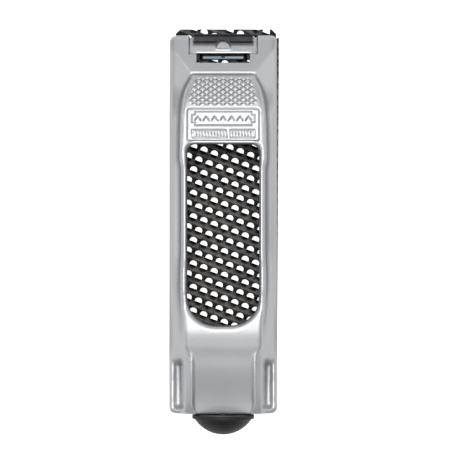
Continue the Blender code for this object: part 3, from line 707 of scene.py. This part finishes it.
def build_flange(side, material):
    """One upturned side of the blade, with the half-notches that the perforation leaves in its top."""
    x_out, inward = (BLADE_LEFT, 1) if side == "left" else (BLADE_RIGHT, -1)
    outer, inner = BEND, BEND - SHEET

    def bent(radius, angle):
        """A point on the fold, at a radius from its centre."""
        x = x_out + inward * (BEND - radius * math.sin(angle))
        return x, SHEET_TOP - SHEET + outer - radius * math.cos(angle)

    profile = [bent(outer, math.pi / 2 * i / 6) for i in range(7)]
    profile.append((x_out, 3.4))
    profile.append((x_out, FLANGE_TOP - 0.15))
    profile.append((x_out + inward * 0.15, FLANGE_TOP))
    profile.append((x_out + inward * (SHEET - 0.15), FLANGE_TOP))
    profile.append((x_out + inward * SHEET, FLANGE_TOP - 0.15))
    profile.append((x_out + inward * SHEET, 3.4))
    profile += [bent(inner, math.pi / 2 * (1 - i / 6)) for i in range(7)]
    ys = np.arange(BLADE_REAR + 0.3, BLADE_FRONT - 3.4, 0.42)
    points, faces, wear = [], [], []
    size = len(profile)
    skew = RIGHT_SKEW if side == "right" else 0.0
    for y in ys:
        phase = (y / NOTCH_PITCH) % 1.0 - 0.5
        dip = NOTCH_DEPTH * max(0.0, math.cos(phase * math.pi * 2.4)) ** 0.6 if abs(phase) < 0.21 else 0.0
        ends = min(y - ys[0], ys[-1] - y)
        drop = dip + 1.6 * max(0.0, 1 - ends / 1.6) ** 2
        for k, (px, pz) in enumerate(profile):
            high = pz > FLANGE_TOP - 0.5
            points.append((px - skew * (72.0 - y), y, pz - (drop if high else 0.0)))
            wear.append(0.5 if high else 0.05)
    rows = len(ys)
    for r in range(rows - 1):
        for k in range(size):
            j = (k + 1) % size
            faces.append((r * size + k, r * size + j, (r + 1) * size + j, (r + 1) * size + k))
    faces.append(tuple(range(size - 1, -1, -1)))
    faces.append(tuple((rows - 1) * size + k for k in range(size)))
    if inward == -1:
        faces = [tuple(reversed(f)) for f in faces]
    return make_object(
        f"blade_flange_{side}", points, faces, material, "tool_body", (), {"edge": wear}, 40
    )


def thicken(path, thick):
    """The two sides of a strip of one thickness that follows a centre line of (y, z)."""
    path = [Vector(p) for p in path]
    left, right = [], []
    for i, p in enumerate(path):
        before, after = path[max(i - 1, 0)], path[min(i + 1, len(path) - 1)]
        run = (after - before).normalized()
        side = Vector((-run.y, run.x)) * thick / 2
        left.append(p + side)
        right.append(p - side)
    return left, right


def bend_path(corners, radius, count=6):
    """A polyline with its corners turned into arcs."""
    result = [Vector(corners[0])]
    for before, corner, after in zip(corners, corners[1:], corners[2:]):
        before, corner, after = Vector(before), Vector(corner), Vector(after)
        a, b = (before - corner).normalized(), (after - corner).normalized()
        reach = min(radius, (before - corner).length * 0.49, (after - corner).length * 0.49)
        start, end = corner + a * reach, corner + b * reach
        for i in range(count + 1):
            t = i / count
            result.append(start * (1 - t) ** 2 + corner * 2 * t * (1 - t) + end * t**2)
    result.append(Vector(corners[-1]))
    return result


def resample(path, step):
    """Points along a polyline no further apart than step."""
    result = [path[0]]
    for a, b in zip(path, path[1:]):
        parts = max(1, math.ceil((b - a).length / step))
        result += [a.lerp(b, i / parts) for i in range(1, parts + 1)]
    return result


def build_strap(name, corners, half, material, shape=None, notch=None, dimples=()):
    """A bent steel strip across the tool: corners is its centre line in (y, z)."""
    path = resample(bend_path(corners, 0.95), 0.35)
    upper, lower = thicken(path, STRAP_THICK)
    length = [0.0]
    for a, b in zip(path, path[1:]):
        length.append(length[-1] + (b - a).length)
    xs = np.linspace(-half, half, 81)
    points, wear, painted_reflection = [], [], []
    rows = len(path)
    for layer in (upper, lower):
        for r in range(rows):
            for x in xs:
                y, z = layer[r].x, layer[r].y
                corner = max(abs(x) - (half - 0.5), 0.0)
                if notch and r >= rows - 9:
                    y += notch(x) * (r - (rows - 9)) / 8
                lift = shape(x, y, z) if shape else 0.0
                z += lift
                # Painted reflection: strongest where the pressed channel is lifted most.
                painted_reflection.append(max(0.0, lift) ** 2)
                for dx, dy, size in dimples:
                    gap = math.hypot(x - dx, path[r].x - dy)
                    if path[r].y < 4.0 and gap < size:
                        z -= 0.35 * (1 - (gap / size) ** 2)
                points.append((x, y, z))
                wear.append(0.7 if abs(x) > half - 0.3 or r == rows - 1 else 0.08 + corner)
    cols, block = len(xs), rows * len(xs)
    faces = []
    for r in range(rows - 1):
        for c in range(cols - 1):
            a = r * cols + c
            quad = (a, a + 1, a + cols + 1, a + cols)
            faces.append(quad)
            faces.append(tuple(block + i for i in reversed(quad)))
    loop = list(range(cols)) + [r * cols + cols - 1 for r in range(1, rows)]
    loop += [(rows - 1) * cols + c for c in range(cols - 2, -1, -1)]
    loop += [r * cols for r in range(rows - 2, 0, -1)]
    for i, a in enumerate(loop):
        b = loop[(i + 1) % len(loop)]
        faces.append((b, a, a + block, b + block))
    obj = make_object(
        f"bent_{name}", points, faces, material, "tool_body", (name,),
        {"edge": wear, "painted_reflection": painted_reflection}, 50
    )
    return faced_outward(obj)


def strap_notch(x):
    """How far the folded top's rear edge is cut back forward round the boss."""
    return 1.9 * (1.0 - float(smooth_step(np.array(abs(x)), 1.9, 3.1)))


def strap_channel(x, y, z):
    """The shallow trough pressed across the strap's foot, seen through the slot."""
    if z > 4.0:
        return -0.30 * float(1.0 - smooth_step(np.array(y), 73.75, 74.05))
    ends = 1.0 - float(smooth_step(np.array(abs(x)), 7.9, 9.4))
    return max(0.0, 1.0 - ((y - 68.1) / 1.35) ** 4) * ends


def turned(name, profile, segments, material, body, replaced, wear=None):
    """A solid turned about the tensioner's axis; profile is (radius, y) from front to rear."""
    points, masks = [], []
    for k, (radius, y) in enumerate(profile):
        for s in range(segments):
            angle = 2 * math.pi * s / segments
            points.append((radius * math.cos(angle), y, AXIS_Z + radius * math.sin(angle)))
            masks.append(wear(radius, y) if wear else 0.0)
    faces = []
    for k in range(len(profile) - 1):
        for s in range(segments):
            j = (s + 1) % segments
            a, b = k * segments, (k + 1) * segments
            faces.append((a + s, b + s, b + j, a + j))
    faces.append(tuple(range(segments)))
    faces.append(tuple((len(profile) - 1) * segments + s for s in range(segments - 1, -1, -1)))
    obj = make_object(name, points, faces, material, body, replaced, {"edge": masks}, 40)
    return faced_outward(obj)


def build_knob(material):
    """The domed knob: flange, small step, then a spherical end with faint turned bands."""
    face, end = -71.45, -79.35
    profile = [(4.9, face), (11.3, face), (11.85, face - 0.12), (12.08, face - 0.45)]
    profile += [(12.1, face - 1.35), (11.9, face - 1.68), (11.2, face - 1.82), (11.0, face - 1.95)]
    depth = face - 1.95 - end
    sphere = (11.0**2 + depth**2) / (2 * depth)
    widest = math.asin(11.0 / sphere)
    for i in range(1, 33):
        angle = widest * (1 - i / 33.0)
        ring = 0.05 * math.sin(i * math.pi / 2.0) if i < 26 else 0.0
        profile.append((sphere * math.sin(angle) + ring, end + sphere * (1 - math.cos(angle))))
    profile.append((0.12, end + 0.004))

    def wear(radius, y):
        return 0.8 if 11.6 < radius and y < face - 0.3 else 0.1

    return turned(
        "domed_knob", profile, 96, material, "knob_and_screw", ("tension_knob",), wear
    )


def build_screw(material):
    """The screw's threaded shank, modelled as stacked thread rings."""
    profile = [(1.7, -51.55), (2.1, -51.8)]
    y, pitch = -52.0, 0.8
    while y > -66.0:
        profile += [(2.12, y), (2.46, y - 0.25), (2.46, y - 0.4), (2.12, y - 0.65)]
        y -= pitch
    profile += [(2.4, y - 0.1), (2.45, -66.2), (2.0, -66.4), (2.0, -67.4), (2.45, -67.4), (2.45, -71.6)]
    profile += [(4.0, -71.65), (4.3, -71.9), (4.3, -74.9), (3.9, -75.1)]
    return turned(
        "threaded_screw", profile, 48, material, "knob_and_screw", ("tension_screw",)
    )


# ---------------------------------------------------------------- scene

FLOOR_SEEN = 0.9
CAMERA_LENS = 200.0
CAMERA_HEIGHT = 0.987
CAMERA_X = 0.0007
CAMERA_Y = 0.0022


def add_light(name, place, aim, size, power):
    """A soft rectangular light aimed at a point."""
    data = bpy.data.lights.new(name, "AREA")
    data.shape = "RECTANGLE"
    data.size, data.size_y = size
    data.energy = power
    obj = bpy.data.objects.new(name, data)
    obj.location = place
    obj.rotation_mode = "QUATERNION"
    obj.rotation_quaternion = (Vector(aim) - Vector(place)).to_track_quat("-Z", "Y")
    bpy.context.scene.collection.objects.link(obj)


def build_stage():
    """Floor, world, lights and the camera straight above."""
    half = 1500.0
    corners = [(-half, -half, -0.15), (half, -half, -0.15), (half, half, -0.15), (-half, half, -0.15)]
    floor = make_object("floor", corners, [(0, 1, 2, 3)], floor_white())
    world = bpy.data.worlds.new("soft_room")
    world.use_nodes = True
    world.node_tree.nodes["Background"].inputs["Color"].default_value = (0.80, 0.81, 0.83, 1)
    world.node_tree.nodes["Background"].inputs["Strength"].default_value = 0.36
    bpy.context.scene.world = world
    add_light("overhead", (-0.10, 0.10, 1.25), (0, 0, 0), (0.8, 0.8), 4.9)
    add_light("ceiling", (0, 0, 1.6), (0, 0, 0), (2.6, 2.6), 8.6)
    add_light("left_fill", (-0.9, -0.1, 0.5), (0, 0, 0.01), (0.5, 0.9), 1.2)
    add_light("right_fill", (0.9, 0.2, 0.45), (0, 0, 0.01), (0.4, 0.9), 1.0)
    add_light("front_card", (0, 0.9, 0.35), (0, 0, 0.01), (0.9, 0.35), 0.7)
    camera_data = bpy.data.cameras.new("camera")
    camera_data.lens = CAMERA_LENS
    camera_data.clip_start, camera_data.clip_end = 0.01, 50.0
    camera = bpy.data.objects.new("camera", camera_data)
    camera.location = (CAMERA_X, CAMERA_Y, CAMERA_HEIGHT)
    bpy.context.scene.collection.objects.link(camera)
    bpy.context.scene.camera = camera
    bpy.context.scene.view_settings.view_transform = "Standard"


def main():
    """Builds every detailed piece, gives the CAD pieces materials, and sets the stage."""
    silver = cast_silver()
    dark = blade_steel()
    strap = strap_steel()
    zinc = zinc_plate()
    plastic = black_plastic()
    build_casting(silver)
    build_blade(dark)
    build_flange("left", dark)
    build_flange("right", dark)
    front = [(67.2, 2.25), (76.7, 2.25), (76.7, 7.25), (73.0, 7.25)]
    build_strap(
        "front_hook_strap", front, STRAP_HALF, strap, strap_channel, strap_notch,
        [(0.0, 68.6, 0.7)],
    )
    rear = [(-50.0, 2.25), (-57.95, 2.25), (-57.95, 6.95)]
    build_strap(
        "rear_hook_strap", rear, STRAP_HALF, strap, None, None,
        [(-7.0, -53.0, 0.9), (0.0, -53.0, 0.9), (7.0, -53.0, 0.9)],
    )
    build_knob(plastic)
    build_screw(zinc)
    for node in ("tension_claw", "claw_nut"):
        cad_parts[node].material_slots[0].material = zinc
    for node in ("retaining_ring", "thrust_washer"):
        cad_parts[node].material_slots[0].material = strap
    build_stage()


main()
